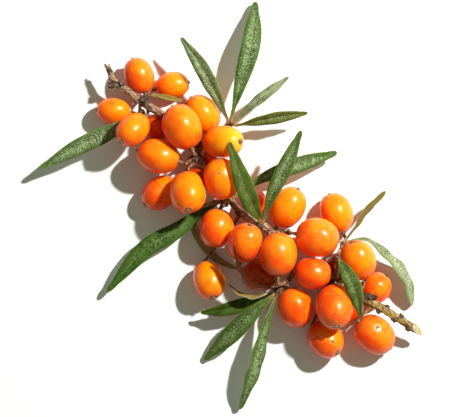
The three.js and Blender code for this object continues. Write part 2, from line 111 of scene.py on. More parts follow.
SHADED_WAY = np.array([-0.14, -0.72, -0.68])  # each berry's skin is painted redder as shade on this side, turned away from the key light
STALK_ZONE = 3.6 * MM  # the young green stretch of a stalk behind its berry

# How each leaf differs, from 0 to 1, by its number: how pale with scurf, how olive, how clear its
# midrib is and how brown. The brown of leaf 13 is painted shade.
LEAF_TONES = {
    1: (0.68, 0.08, 0.2, 0), 2: (0.82, 0.12, 0.2, 0), 3: (1, 0.15, 0.3, 0),
    4: (0.5, 0.6, 0.3, 0), 5: (0.77, 0.1, 0.1, 0), 6: (0.16, 0.06, 0.1, 0),
    7: (0.16, 0.34, 0, 0), 8: (0.62, 0.2, 0.1, 0), 9: (0.68, 0.15, 0.2, 0),
    10: (0.12, 0.9, 0.4, 0), 11: (0.88, 0.24, 0.2, 0), 12: (0.34, 0.26, 0.1, 0),
    13: (0, 0.6, 0.2, 1), 14: (0.5, 0.97, 0.6, 0), 15: (0, 0.1, 0.1, 0.15),
    16: (0.5, 0.15, 0.2, 0), 17: (0.7, 0.18, 0.2, 0), 18: (0.65, 1, 0.2, 0),
    19: (1, 1, 0.1, 0),
}

# How red and how dull each berry's skin is, by its number. Redness is from 0 to 1 on ripe berries,
# below 0 on a partly yellow one, and above 1 on the hidden berries, whose deep dark red is painted
# shade.
BERRY_SKINS = {
    1: (0.42, 0.15), 2: (0.2, 0.15), 3: (0.28, 0.2), 4: (0.27, 0.15), 5: (0.34, 0.15),
    6: (0.12, 0.12), 7: (-0.1, 0.15), 8: (0.24, 0.15), 9: (0.18, 0.12), 10: (0.55, 0.25),
    11: (0.24, 0.15), 12: (1.45, 0.4), 13: (1.6, 0.4), 14: (0.85, 0.4), 15: (0.44, 0.15),
    16: (0.5, 0.4), 17: (0.42, 0.45), 18: (0.15, 0.15), 19: (0.34, 0.65), 20: (0.22, 0.15),
    21: (0.25, 0.15), 22: (0.6, 0.25), 23: (0.5, 0.2), 24: (0.58, 0.25), 25: (0.58, 0.75),
    26: (0.4, 0.3), 27: (0.45, 0.75), 28: (0.12, 0.2), 29: (1.6, 0.4), 30: (1.2, 0.4),
    31: (2, 0.4), 32: (0.85, 0.4), 33: (1.3, 0.4),
}

# Pits in the skin, by the berry's number: the way to each from the centre, seen from above, its
# reach, and how pale the skin around it is.
NO_SCAR = (0, 0, 1e-9, 0)  # reaches nothing
SCARS = {
    11: (-1.4 * MM, 0.5 * MM, 0.9 * MM, 0.1),
    26: (1.5 * MM, 0.8 * MM, 1.0 * MM, 0.1),
    27: (-0.8 * MM, 1.8 * MM, 1.4 * MM, 0.6),
}

# Stretches of the twig with a colour of their own: how far the middle of each is along X from the
# stem's low end, its reach, and its colour. They are the dry tip, the dark stretch past the first
# fork, the bare red shoot, the silvery bend, the olive end and the redder stretch before it.
BARK_ZONES = [
    (10 * MM, 14 * MM, (0.42, 0.26, 0.15)),
    (22.5 * MM, 4.5 * MM, (0.075, 0.052, 0.030)),
    (29.5 * MM, 3.5 * MM, (0.30, 0.085, 0.030)),
    (54 * MM, 3.8 * MM, (0.62, 0.50, 0.36)),
    (93 * MM, 9 * MM, (0.42, 0.29, 0.045)),
    (84.5 * MM, 3 * MM, (0.30, 0.12, 0.04)),
]

# The bark's waves: their size, their share of the relief, their shift, and by how much they are
# squeezed before they are drawn out along the twig.
BARK_WAVES = [
    (0.55 * MM, 0.45, 0.0, 0.35),
    (0.9 * MM, 0.4, 3.0, 1),
    (0.3 * MM, 0.3, 5.0, 1),
    (2 * MM, 0.35, 8.0, 1),
]

# The dark buds on the twig, in millimetres: the way from the stem's low corner, then the radius.
BUDS = [
    (4.8, 18.9, 5.8, 1.1), (6.4, 20.7, 6.2, 1.0), (2.2, 21.3, 6.0, 0.8), (13.5, 21.1, 5.8, 1.5),
    (11.8, 19.9, 5.0, 0.8), (15.6, 20.3, 5.8, 0.9), (32.2, 18.7, 5.0, 1.4), (29.8, 19.9, 4.4, 0.9),
    (33.4, 30.3, 3.7, 0.9), (44.6, 15.1, 4.3, 1.0), (49.4, 14.7, 5.1, 1.0), (55.2, 15.9, 6.3, 1.1),
    (60.6, 17.7, 5.9, 0.8), (69.4, 8.9, 6.3, 1.3), (69.0, 6.1, 6.1, 1.0), (74.0, 25.5, 6.1, 0.9),
    (75.2, 21.9, 8.7, 0.9), (78.6, 16.6, 4.9, 1.1), (87.0, 19.6, 7.1, 1.3), (88.4, 20.5, 7.3, 0.9),
    (91.5, 18.5, 6.0, 0.9), (92.4, 20.6, 6.1, 0.8), (95.8, 19.3, 5.5, 0.9), (96.6, 21.1, 5.5, 0.8),
    (100.1, 20.0, 5.0, 0.8), (100.8, 21.7, 5.2, 0.8),
]
BUD_SCALES = 5  # dry scales that stand off each bud
SCALE_FOOT_R = 0.3 * MM
SCALE_TIP_R = 0.08 * MM
SCALE_LENGTH = 1.1 * MM

CUT_FACING = Vector((0.5, 0.45, 0.74)).normalized()  # the way the slanted cut faces
CUT_STRETCH = 6 * MM  # the cut is on this last stretch of the stem
CUT_TRIM = 0.1 * MM  # what the cut takes off the bark's rough end

SURFACE_SIDE = 3.0
SURFACE_DROP = 0.02 * MM  # the surface is this far under the sprig
KEY_DISTANCE = 0.75
VIEW_TURN = math.radians(40)  # how far the sprig lies turned in the view from above
VIEW_FROM_STEM = (-3.76 * MM, -0.11 * MM)  # from the middle of the stem's box to the view's middle
VIEW_WIDTH = 118.5 * MM  # how much of the surface the view takes in


class BerryLook(PropertyGroup):
    """Sizes and colours of the berries."""

    light: FloatVectorProperty(
        name="Ripe skin", description="Colour of the skin of a plain ripe berry",
        subtype="COLOR", default=(1.0, 0.30, 0.001), min=0, max=1)
    red: FloatVectorProperty(
        name="Red skin", description="Colour of the reddest skins",
        subtype="COLOR", default=(1.0, 0.055, 0.001), min=0, max=1)
    roughness: FloatProperty(
        name="Skin roughness", description="Roughness of a clean skin",
        subtype="FACTOR", default=0.36, min=0.05, max=1)
    star_radius: FloatProperty(
        name="Star radius", description="Radius of the dried star at a berry's outer end",
        subtype="DISTANCE", default=0.42 * MM, min=0.1 * MM, max=2 * MM)


class LeafLook(PropertyGroup):
    """Sizes and colours of the leaves."""

    green: FloatVectorProperty(
        name="Blade green", description="Colour of a blade's upper face",
        subtype="COLOR", default=(0.007, 0.028, 0.002), min=0, max=1)
    silver: FloatVectorProperty(
        name="Underside", description="Colour of a blade's scaly underside",
        subtype="COLOR", default=(0.42, 0.46, 0.34), min=0, max=1)
    thickness: FloatProperty(
        name="Midrib thickness", description="Thickness of a leaf at its midrib",
        subtype="DISTANCE", default=0.55 * MM, min=0.1 * MM, max=2 * MM)
    groove: FloatProperty(
        name="Groove", description="Depth of the groove along a leaf's midrib",
        subtype="DISTANCE", default=0.16 * MM, min=0, max=MM)


class StemLook(PropertyGroup):
    """Sizes and colours of the woody stem."""

    bark: FloatVectorProperty(
        name="Bark", description="Colour of the old bark",
        subtype="COLOR", default=(0.105, 0.035, 0.010), min=0, max=1)
    grain: FloatProperty(
        name="Grain", description="Size of the finest forms in the bark",
        subtype="DISTANCE", default=0.17 * MM, min=0.1 * MM, max=MM)
    relief: FloatProperty(
        name="Relief", description="Height of the bark's cracks and scales",
        subtype="DISTANCE", default=0.3 * MM, min=0, max=MM)


class StageLook(PropertyGroup):
    """The light, the surface and the camera."""

    key_power: FloatProperty(
        name="Key power", description="Power of the key light",
        subtype="POWER", default=9.0, min=0)
    key_azimuth: FloatProperty(
        name="Key azimuth", description="Direction of the key light, from +X towards +Y",
        subtype="ANGLE", default=math.radians(79.5))
    key_elevation: FloatProperty(
        name="Key elevation", description="Height of the key light above the surface",
        subtype="ANGLE", default=math.radians(48))
    key_size: FloatProperty(
        name="Key size", description="Diameter of the key light",
        subtype="DISTANCE", default=0.04)
    sky: FloatVectorProperty(
        name="Sky", description="Colour and strength of the even light from all sides",
        subtype="COLOR", default=(0.185, 0.210, 0.170), min=0, max=1)
    distance: FloatProperty(
        name="Camera distance", description="Height of the camera above the surface",
        subtype="DISTANCE", default=0.8)
    seed: IntProperty(name="Seed", description="Start of all the small differences", default=7)


class SprigSettings(PropertyGroup):
    """All the settings of the sprig."""

    berries: PointerProperty(type=BerryLook)
    leaves: PointerProperty(type=LeafLook)
    stem: PointerProperty(type=StemLook)
    stage: PointerProperty(type=StageLook)


# ---- shader maths


def math_node(operation, reflected=False):
    """A method of Shade that adds a Math node, with its two sides changed over if reflected."""

    def method(self, other=0.0):
        first, second = (other, self) if reflected else (self, other)
        return self.finish.node("ShaderNodeMath", {"operation": operation}, {0: first, 1: second})

    return method


class Shade:
    """A socket in a material, whose arithmetic adds Math nodes."""

    def __init__(self, finish, socket):
        self.finish = finish
        self.socket = socket

    __add__, __radd__ = math_node("ADD"), math_node("ADD", reflected=True)
    __sub__, __rsub__ = math_node("SUBTRACT"), math_node("SUBTRACT", reflected=True)
    __mul__, __rmul__ = math_node("MULTIPLY"), math_node("MULTIPLY", reflected=True)
    __abs__ = math_node("ABSOLUTE")
    most = math_node("MAXIMUM")


class Finish:
    """A procedural material being made: a Principled surface and the nodes that feed it."""

    def __init__(self, name, **constants):
        self.material = bpy.data.materials.new(name)
        self.material.use_nodes = True
        self.tree = self.material.node_tree
        self.tree.nodes.clear()
        self.colour = None
        self.surface = self.tree.nodes.new("ShaderNodeBsdfPrincipled")
        output = self.tree.nodes.new("ShaderNodeOutputMaterial")
        self.tree.links.new(self.surface.outputs["BSDF"], output.inputs["Surface"])
        for socket, value in constants.items():
            self.feed(self.surface.inputs[socket.replace("_", " ")], value)

    def feed(self, socket, value):
        """Links a value to a socket, or sets it there if it is a plain one."""
        if isinstance(value, Shade):
            self.tree.links.new(value.socket, socket)
        else:
            socket.default_value = value

    def node(self, kind, settings, sockets, output=0):
        """Adds a node with its settings, then its sockets' values, and returns an output."""
        node = self.tree.nodes.new(kind)
        for name, value in settings.items():
            setattr(node, name, value)
        for key, value in sockets.items():
            self.feed(node.inputs[key], value)
        return Shade(self, node.outputs[output])

    def place(self, stretch=(1, 1, 1)):
        """The place on the piece, in metres, squeezed by `stretch` along each axis."""
        raw = self.node("ShaderNodeTexCoord", {}, {}, "Object")
        return self.node("ShaderNodeMapping", {}, {"Vector": raw, "Scale": stretch})

    def along(self, axis):
        """How far along one axis the place is, in metres."""
        return self.node("ShaderNodeSeparateXYZ", {}, {0: self.place()}, axis)

    def cloud(self, size, detail=2.0, stretch=(1, 1, 1), spot=None):
        """Soft noise from 0 to 1 with blotches of about `size`, at the place or another spot."""
        if spot is None:
            vector = self.place(stretch)
        else:
            vector = self.node("ShaderNodeCombineXYZ", {}, dict(enumerate(spot)))
        sockets = {"Vector": vector, "Scale": 1 / size, "Detail": detail}
        return self.node("ShaderNodeTexNoise", {}, sockets)

    def dots(self, spacing, radius):
        """A mask of small soft dots, `spacing` metres apart, each `radius` metres wide."""
        sockets = {"Vector": self.place(), "Scale": 1 / spacing, "Randomness": 1.0}
        away = self.node("ShaderNodeTexVoronoi", {}, sockets, "Distance")
        return self.ramp(away, radius / spacing, 0.4 * radius / spacing)

    def ramp(self, value, low, high):
        """0 where the value is `low` and 1 where it is `high`, with a smooth change between."""
        sockets = {"Value": value, "From Min": low, "From Max": high}
        return self.node("ShaderNodeMapRange", {"interpolation_type": "SMOOTHSTEP"}, sockets)

    def patches(self, low, high, size, detail=2.0, stretch=(1, 1, 1)):
        """A mask of patches: 0 where a cloud is `low` and 1 where it is `high`."""
        return self.ramp(self.cloud(size, detail, stretch), low, high)

    def own(self, name):
        """The piece's own attribute."""
        return self.node("ShaderNodeAttribute", {"attribute_name": name}, {}, "Fac")

    def mix(self, mask, under, over):
        """The colour `under`, covered by the colour `over` where the mask is 1."""
        under, over = (c if isinstance(c, Shade) else (*c, 1) for c in (under, over))
        return self.node("ShaderNodeMix", {"data_type": "RGBA"}, {0: mask, 6: under, 7: over}, 2)

    def cover(self, mask, tint):
        """Covers the finish's colour so far with another where the mask is 1."""
        self.colour = self.mix(mask, self.colour, tint)

    def done(self, roughness, height=None, depth=0.0):
        """Links what varies over the surface; `depth` is the height's full swing in metres."""
        inputs = self.surface.inputs
        self.feed(inputs["Base Color"], self.colour)
        self.feed(inputs["Roughness"], roughness)
        if height is not None:
            sockets = {"Height": height, "Distance": depth}
            self.feed(inputs["Normal"], self.node("ShaderNodeBump", {}, sockets))
        return self.material


# ---- finishes


def skin_finish(look):
    """Glossy orange skin, mottled, with pale and rusty scales; painted yellower as light and redder
    as shade.
    """
    skin = Finish(
        "berry skin", IOR=1.45, Coat_Weight=0.38, Coat_Roughness=0.24,
        Specular_Tint=(1.0, 0.62, 0.20, 1), Subsurface_Weight=0.6, Subsurface_Scale=2.2 * MM,
        Subsurface_Radius=(1.0, 0.2, 0.02))
    redness_and_shade, dull, blush = skin.own("red"), skin.own("dull"), skin.own("blush")
    toward_end = skin.own("toward_end")
    ends = skin.ramp(toward_end, 0.72, 1.0)
    mottle = skin.patches(0.38, 0.68, 3.2 * MM, 3)
    # painted shade: the skin turns towards the red colour on its side away from the key light
    red = redness_and_shade - 0.05 + (mottle - 0.5) * 0.3 + ends * 0.1 + blush * 0.7
    skin.colour = skin.mix(skin.ramp(red, 0.0, 1.0), look.light, look.red)
    # a partly unripe berry is yellow towards its style, painted mostly on the side towards the key
    # light as light
    unripe = skin.ramp(redness_and_shade, 0.0, -0.1) * skin.ramp(skin.own("toward_star"), 0.1, 1.2)
    skin.cover(unripe * (1 - blush * 0.8), (0.74, 0.56, 0.012))
    # painted shade: the hidden berries, whose redness is above 1, are darkened to a deep dark red
    skin.cover(skin.ramp(redness_and_shade, 1.0, 2.0), (0.30, 0.008, 0.0005))
    # painted light: gold patches only on the side towards the key light
    painted_light_gold = skin.patches(0.5, 0.75, 1.3 * MM, 4) * (1 - blush) * 0.35
    skin.cover(painted_light_gold, (1.0, 0.40, 0.002))
    bloom = skin.patches(0.45, 0.75, 0.9 * MM, 5) * dull
    skin.cover(bloom * 0.45, (0.72, 0.25, 0.03))
    browned = skin.ramp(toward_end, 0.45, 1.0) * dull
    skin.cover(browned * 0.6, (0.46, 0.17, 0.025))
    pale = skin.dots(0.8 * MM, 0.15 * MM) * (0.1 + ends * 0.25 + dull * 0.6)
    skin.cover(pale, (1.0, 0.55, 0.12))
    crowd = skin.patches(0.42, 0.62, 1.6 * MM) * (0.1 + ends * 0.4 + dull * 0.5)
    rusty = skin.dots(0.5 * MM, 0.14 * MM) * crowd
    skin.cover(rusty, (0.26, 0.075, 0.02))
    halo, hollow = skin.own("star_halo"), skin.own("star_hollow")
    skin.cover(halo * 0.4, (0.90, 0.33, 0.12))
    skin.cover(hollow * 0.75, (0.30, 0.085, 0.03))
    scar = skin.own("scar")
    skin.cover(skin.ramp(scar, 0.1, 0.4) * skin.own("scar_rim"), (1.0, 0.52, 0.27))
    skin.cover(skin.ramp(scar, 0.55, 0.75), (0.10, 0.025, 0.012))
    roughness = look.roughness + dull * 0.16 + bloom * 0.2 + rusty * 0.3 + hollow * 0.25
    height = skin.cloud(0.35 * MM, 3) * (0.3 + dull) + rusty * 0.8 + pale * 0.5
    return skin.done(roughness, height, 0.03 * MM)


def star_finish():
    """Dry tan remains of the flower, dark inside its cup."""
    star = Finish("dried star")
    mottle = star.patches(0.35, 0.65, 0.25 * MM, 4)
    star.colour = star.mix(mottle, (0.16, 0.07, 0.035), (0.62, 0.42, 0.27))
    star.cover(star.own("cup"), (0.035, 0.014, 0.008))
    return star.done(0.6 + mottle * 0.3, mottle, 0.08 * MM)


def collar_finish():
    """Green-brown end of a berry's stalk."""
    collar = Finish("stalk collar")
    mottle = collar.patches(0.35, 0.7, 0.3 * MM, 4)
    collar.colour = collar.mix(mottle, (0.14, 0.075, 0.025), (0.33, 0.22, 0.08))
    return collar.done(0.65 + mottle * 0.15, mottle, 0.06 * MM)


def blade_finish(look):
    """Deep green upper face under a fine silvery grain, gathered in the middle as a painted sheen,
    with painted shade along the edges.
    """
    blade = Finish("leaf upper face", IOR=1.45, Specular_IOR_Level=0.12)
    pale, olive, ribbed = blade.own("pale"), blade.own("olive"), blade.own("ribbed")
    along, across, rim = blade.own("along"), blade.own("across"), blade.own("rim")
    mottle = blade.patches(0.36, 0.64, 2.0 * MM, 4)
    blade.colour = blade.mix(mottle, look.green, (0.036, 0.108, 0.008))
    # painted shade: a deeper, purer green along the blade's edges
    shaded_border = blade.ramp(rim, 1.5 * MM, 0.4 * MM)
    blade.cover(shaded_border * 0.6, (0.026, 0.096, 0.005))
    blade.cover(olive * 0.7, (0.17, 0.130, 0.012))
    outward = along * (34 * MM) - across * 0.6
    spot = outward * (1 / (0.36 * MM)), across * (1 / (0.8 * MM)), blade.along("Z") * (1 / MM)
    lines = blade.cloud(1.0, 2, spot=spot)
    grain = blade.cloud(0.24 * MM, 2)
    streaks = blade.ramp(lines * 0.4 + grain * 0.6, 0.44, 0.60)
    patches = blade.patches(0.24, 0.58, 2.4 * MM, 4)
    # painted sheen: the pale grain gathers in the middle of the blade and thins out towards its
    # shaded edges
    cover = (0.66 + patches * 0.34) * (1 - shaded_border * 0.75) * (0.05 + pale * 0.95)
    frost = blade.mix(pale, (0.50, 0.68, 0.20), (0.63, 0.73, 0.42))
    blade.cover(streaks * cover * 0.9, frost)
    crowd = blade.patches(0.42, 0.62, 0.7 * MM, 3)
    scurf = blade.dots(0.33 * MM, 0.13 * MM) * crowd * cover
    blade.cover(scurf, (0.62, 0.67, 0.46))
    frosted = blade.ramp(pale, 0.7, 1.0)
    blade.cover(frosted * (0.05 + patches * 0.35), (0.52, 0.54, 0.34))
    blotch = blade.patches(0.5, 0.64, 0.7 * MM, 4) * olive
    blade.cover(blotch * 0.8, (0.060, 0.034, 0.006))
    faded = blade.ramp(olive, 0.8, 1.0)
    blade.cover(faded * 0.55, (0.44, 0.26, 0.07))
    edge = blade.ramp(rim, 0.22 * MM, 0.08 * MM).most(blade.ramp(along, 0.965, 1.0) * 0.6)
    blade.cover(edge * 0.5, (0.27, 0.27, 0.04))
    midrib = blade.ramp(across, 0.26 * MM, 0.1 * MM) * blade.ramp(along, 1.0, 0.7)
    blade.cover(midrib * (0.1 + ribbed * 0.55), (0.33, 0.38, 0.11))
    # the leaf's brown; on leaf 13 it is painted shade
    blade.cover(blade.own("brown"), (0.060, 0.014, 0.002))
    foot = blade.ramp(along, 0.13, 0.05)
    blade.cover(foot * 0.85, (0.36, 0.20, 0.06))
    height = lines * 0.9 + scurf * 0.5 + blade.cloud(0.28 * MM, 3) * 0.6
    return blade.done(0.34 + mottle * 0.08 + scurf * 0.2, height, 0.2 * MM)


def underside_finish(look):
    """Silvery scales with rusty ones among them, covered by the leaf's brown, which on leaf 13 is
    painted shade.
    """
    under = Finish("leaf underside")
    scales = under.patches(0.35, 0.65, 0.3 * MM, 4)
    under.colour = under.mix(scales, look.silver, (0.60, 0.63, 0.52))
    rusty = under.dots(0.5 * MM, 0.12 * MM) * under.patches(0.4, 0.6, 1.5 * MM)
    under.cover(rusty * 0.8, (0.30, 0.15, 0.05))
    midrib = under.ramp(under.own("across"), 0.35 * MM, 0.15 * MM)
    under.cover(midrib * 0.6, (0.45, 0.36, 0.17))
    foot = under.ramp(under.own("along"), 0.14, 0.05)
    under.cover(foot * 0.85, (0.40, 0.25, 0.09))
    # the leaf's brown; on leaf 13 it is painted shade
    under.cover(under.own("brown"), (0.060, 0.014, 0.002))
    return under.done(0.62, scales + rusty, 0.05 * MM)


def bark_finish(look):
    """Brown bark in stretches of different colour, with dark knobs and green-brown stalks."""
    bark = Finish("bark")
    streaks = bark.patches(0.36, 0.66, 0.5 * MM, 5, (0.28, 1, 1))
    bark.colour = bark.mix(streaks, look.bark, (0.56, 0.27, 0.11))
    low_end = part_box("stem")[0].x
    for middle, reach, tint in BARK_ZONES:
        away = abs(bark.along("X") - (low_end + middle))
        zone = bark.ramp(away, reach, 0.4 * reach)
        bark.cover(zone * (0.55 + streaks * 0.35), tint)
    young = bark.own("young")
    bark.cover(young * 0.75, (0.22, 0.105, 0.03))
    lenticels = bark.dots(0.8 * MM, 0.14 * MM)
    bark.cover(lenticels * (1 - young) * 0.8, (0.80, 0.62, 0.42))
    knob = bark.own("knob")
    bark.cover(knob * 0.9, (0.035, 0.017, 0.009))
    rusty = bark.dots(0.4 * MM, 0.13 * MM) * bark.patches(0.45, 0.6, 1.2 * MM)
    bark.cover(rusty * 0.7, (0.38, 0.12, 0.03))
    hollow = bark.patches(0.52, 0.38, 0.45 * MM, 5, (0.5, 1, 1))
    bark.cover(hollow * 0.8, (0.045, 0.022, 0.012))
    flecks = bark.patches(0.56, 0.68, 0.4 * MM, 4, (0.6, 1, 1))
    bark.cover(flecks * 0.6, (0.72, 0.50, 0.31))
    height = streaks * 0.6 + lenticels * 0.5 - hollow + rusty * 0.4
    return bark.done(0.6 + streaks * 0.2, height, 0.12 * MM)


def cut_wood_finish():
    """Pale wood of the slanted cut, with faint fibres and a darker pith."""
    wood = Finish("cut wood")
    fibres = wood.patches(0.35, 0.65, 0.22 * MM, 4, (0.3, 1, 1))
    wood.colour = wood.mix(fibres, (0.36, 0.26, 0.12), (0.60, 0.50, 0.31))
    return wood.done(0.7, fibres, 0.04 * MM)


def surface_finish():
    """The plain pale surface under the sprig."""
    floor = Finish("pale surface")
    grain = floor.cloud(2 * MM, 2)
    floor.colour = floor.mix(grain, (0.88, 0.90, 0.85), (0.90, 0.92, 0.87))
    return floor.done(0.75)


# ---- what the solids say


def solid_shape(node):
    """A solid's points, each once, and its triangles."""
    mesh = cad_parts[node].data
    points = np.array([v.co for v in mesh.vertices], float)
    mesh.calc_loop_triangles()
    triangles = np.array([t.vertices for t in mesh.loop_triangles])
    _, first, place = np.unique(
        np.round(points, 6), axis=0, return_index=True, return_inverse=True)
    return points[first], place.reshape(-1)[triangles]


def solid_tree(node):
    """A solid's surface, ready for finding its nearest point or what a ray hits."""
    points, triangles = solid_shape(node)
    return BVHTree.FromPolygons(points.tolist(), triangles.tolist())


def spans(vectors):
    """The length of each vector."""
    return np.linalg.norm(vectors, axis=-1)


class BerryForm:
    """A berry's centre, the way from its stalk to its dried style, its length and its width."""

    def __init__(self, node):
        points, triangles = solid_shape(node)
        corners = points[triangles]
        sides = corners[:, 1:] - corners[:, :1]
        areas = spans(np.cross(sides[:, 0], sides[:, 1]))
        middle = (corners.mean(1) * areas[:, None]).sum(0) / areas.sum()
        gaps = spans(points[:, None] - points[None])
        crowded = points[(gaps < STYLE_SPREAD).sum(1) >= STYLE_CORNERS]
        reach = spans(crowded - middle)
        style = crowded[np.argsort(reach)[-STYLE_CORNERS:]]
        tip = style.mean(0)
        flat = np.linalg.svd(style - tip)[2][2]
        way = (tip - middle) / np.linalg.norm(tip - middle)
        self.axis = flat * np.sign(flat @ way) if abs(flat @ way) > 0.95 else way
        self.length = tip @ self.axis - (points @ self.axis).min() - STYLE_RISE
        self.centre = tip - self.axis * (STYLE_RISE + self.length / 2)
        beside = points - tip
        beside -= np.outer(beside @ self.axis, self.axis)
        self.width = 2 * spans(beside).max()

    def skin_along(self, way):
        """Distance from the centre to the skin along a direction."""
        along = abs(way @ self.axis)
        across = math.sqrt(max(0.0, 1 - along * along))
        return 1 / math.hypot(2 * along / self.length, 2 * across / self.width)

    def upright(self):
        """The turn that brings +Z to the berry's axis, and the move to its centre."""
        turn = Vector((0, 0, 1)).rotation_difference(Vector(self.axis)).to_matrix().to_4x4()
        return Matrix.Translation(self.centre) @ turn


class LeafForm:
    """A leaf's rows from base to tip: middle, side direction, upward direction and half width."""

    def __init__(self, node):
        points, triangles = solid_shape(node)
        neighbours = [set() for _ in points]
        for a, b, c in triangles:
            neighbours[a] |= {b, c}
            neighbours[b] |= {a, c}
            neighbours[c] |= {a, b}
        gaps = spans(points[:, None] - points[None])
        ends = np.unravel_index(gaps.argmax(), gaps.shape)
        tip = max(ends, key=lambda end: gaps[end][list(neighbours[end])].mean())
        rows, seen, row = [], {tip}, {tip}
        while row:
            rows.append(points[list(row)])
            row = {near for point in row for near in neighbours[point]} - seen
            seen |= row
        rings = [ring for ring in reversed(rows) if len(ring) == 6]
        self.middles, self.sides, self.ups, self.halves = [], [], [], []
        for ring in rings:
            self.add_row(ring)
        heading = self.middles[1] - self.middles[0]
        if np.cross(heading, self.sides[0]) @ self.ups[0] < 0:
            self.sides = [-side for side in self.sides]
        self.middles.append(points[tip])
        self.sides.append(self.sides[-1])
        self.ups.append(self.ups[-1])
        self.halves.append(0.05 * MM)

    def add_row(self, ring):
        centre = ring.mean(0)
        order = np.argsort(spans(ring - centre))
        spine, corners = ring[order[:2]], ring[order[2:]]
        partner = 1 + np.argmin(spans(corners[1:] - corners[0]))
        one = (corners[0] + corners[partner]) / 2
        other = (corners.sum(0) - corners[0] - corners[partner]) / 2
        up = spine[0] - spine[1]
        up *= np.sign(up[2]) / np.linalg.norm(up)
        side = (other - one) / np.linalg.norm(other - one)
        if self.sides:
            side *= np.sign(side @ self.sides[-1])
        self.middles.append(spine.mean(0))
        self.sides.append(side)
        self.ups.append(up)
        self.halves.append(np.linalg.norm(other - one) / 2)


def smooth_between(values, share):
    """The value at `share` of the way along a smooth curve through evenly spaced values."""
    values = np.asarray(values, float)
    place = min(max(share, 0.0), 1.0) * (len(values) - 1)
    first = min(int(place), len(values) - 2)
    t = place - first
    places = np.clip(first + np.arange(-1, 3), 0, len(values) - 1)
    before, start, end, after = values[places]
    bend = (2 * before - 5 * start + 4 * end - after) * t * t
    bend = bend + (3 * (start - end) + after - before) * t ** 3
    return start + 0.5 * ((end - before) * t + bend)


def nodes_of(kind):
    """The names of all the solids of one kind, in order."""
    return sorted(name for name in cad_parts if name.startswith(kind))


def number_of(node):
    """The number at the end of a solid's name."""
    return int(node.split("_")[-1])


# ---- working with pieces


def deselect():
    bpy.ops.object.select_all(action="DESELECT")


def take(piece):
    """Selects one piece alone and makes it active."""
    deselect()
    piece.select_set(True)
    bpy.context.view_layer.objects.active = piece


@contextmanager
def whole_mesh_open(piece):
    """Edit mode on one piece, with all of its mesh selected."""
    take(piece)
    bpy.ops.object.mode_set(mode="EDIT")
    bpy.ops.mesh.select_all(action="SELECT")
    yield
    bpy.ops.object.mode_set(mode="OBJECT")


def added(name):
    """The primitive that was just added, named."""
    piece = bpy.context.object
    piece.name = piece.data.name = name
    return piece


def copied(blank, name):
    """A copy of a piece, with its own mesh."""
    piece = blank.copy()
    piece.data = blank.data.copy()
    piece.name = piece.data.name = name
    bpy.context.collection.objects.link(piece)
    return piece


def joined(pieces):
    """All the pieces as one, under the first one's name."""
    take(pieces[0])
    for piece in pieces[1:]:
        piece.select_set(True)
    bpy.ops.object.join()
    return pieces[0]


def apply_modifier(piece, kind, **settings):
    take(piece)
    modifier = piece.modifiers.new(kind.title(), kind)
    for name, value in settings.items():
        setattr(modifier, name, value)
    bpy.ops.object.modifier_apply(modifier=modifier.name)


def points_of(piece):
    found = np.empty(len(piece.data.vertices) * 3)
    piece.data.vertices.foreach_get("co", found)
    return found.reshape(-1, 3)


def set_points(piece, points):
    piece.data.vertices.foreach_set("co", np.ascontiguousarray(points, float).ravel())
    piece.data.update()


def note(piece, **numbers):
    """Stores a number for each point, or one for all, under each name; the finishes read them."""
    for name, values in numbers.items():
        attribute = piece.data.attributes.new(name, "FLOAT", "POINT")
        values = np.broadcast_to(np.asarray(values, np.float32), len(piece.data.vertices))
        attribute.data.foreach_set("value", np.ascontiguousarray(values))


def smooth_step(value, low, high):
    """0 where the value is `low`, 1 where it is `high`, with a smooth change between."""
    share = np.clip((value - low) / (high - low), 0, 1)
    return share * share * (3 - 2 * share)


def waves(points, size, shift=0.0):
    """Soft noise from -1 to 1 at each point, with waves of about `size` metres."""
    offset = Vector((shift, -2 * shift, 3 * shift))
    return np.array([noise.noise(Vector(point) / size + offset) for point in points])


def finished(piece, node):
    """Declares a finished piece: it rides on the sprig and stands for its solid."""
    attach(piece, "root")
    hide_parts(node)


# ---- berries


def model_blank_berry(material):
    """The round skin that each berry starts from, one unit to each side of its centre."""
    deselect()
    bpy.ops.mesh.primitive_uv_sphere_add(segments=BERRY_SEGMENTS, ring_count=BERRY_RINGS, radius=1)
    blank = added("blank_berry")
    points = points_of(blank)
    radius = spans(points[:, :2])
    points[:, :2] *= (np.maximum(radius, 1e-5) ** (BERRY_FULLNESS - 1))[:, None]
    set_points(blank, points)
    bpy.ops.object.shade_smooth()
    blank.data.materials.append(material)
    return blank


def model_star(look, material):
    """The dried flower at a berry's outer end: a low cup with a ragged rim."""
    deselect()
    bpy.ops.mesh.primitive_circle_add(
        vertices=2 * STAR_POINTS, radius=look.star_radius, fill_type="NGON")
    star = added("blank_star")
    with whole_mesh_open(star):
        bpy.ops.mesh.extrude_region_move(TRANSFORM_OT_translate={"value": (0, 0, STAR_HEIGHT)})
        bpy.ops.transform.resize(value=(1.12, 1.12, 1))
        for width, rise in STAR_STEPS:
            bpy.ops.mesh.inset(thickness=width, depth=rise)
    points = points_of(star)
    radius = spans(points[:, :2])
    turn = np.arctan2(points[:, 1], points[:, 0])
    ragged = np.where(radius > 0.9 * radius.max(), np.cos(turn * STAR_POINTS), 0)
    points[:, :2] *= (1 + STAR_RAGGED * ragged)[:, None]
    points[:, 2] += 0.1 * MM * ragged
    set_points(star, points)
    note(star, cup=smooth_step(radius / radius.max(), 0.75, 0.45))
    with whole_mesh_open(star):
        bpy.ops.mesh.normals_make_consistent()
    star.data.materials.append(material)
    return star


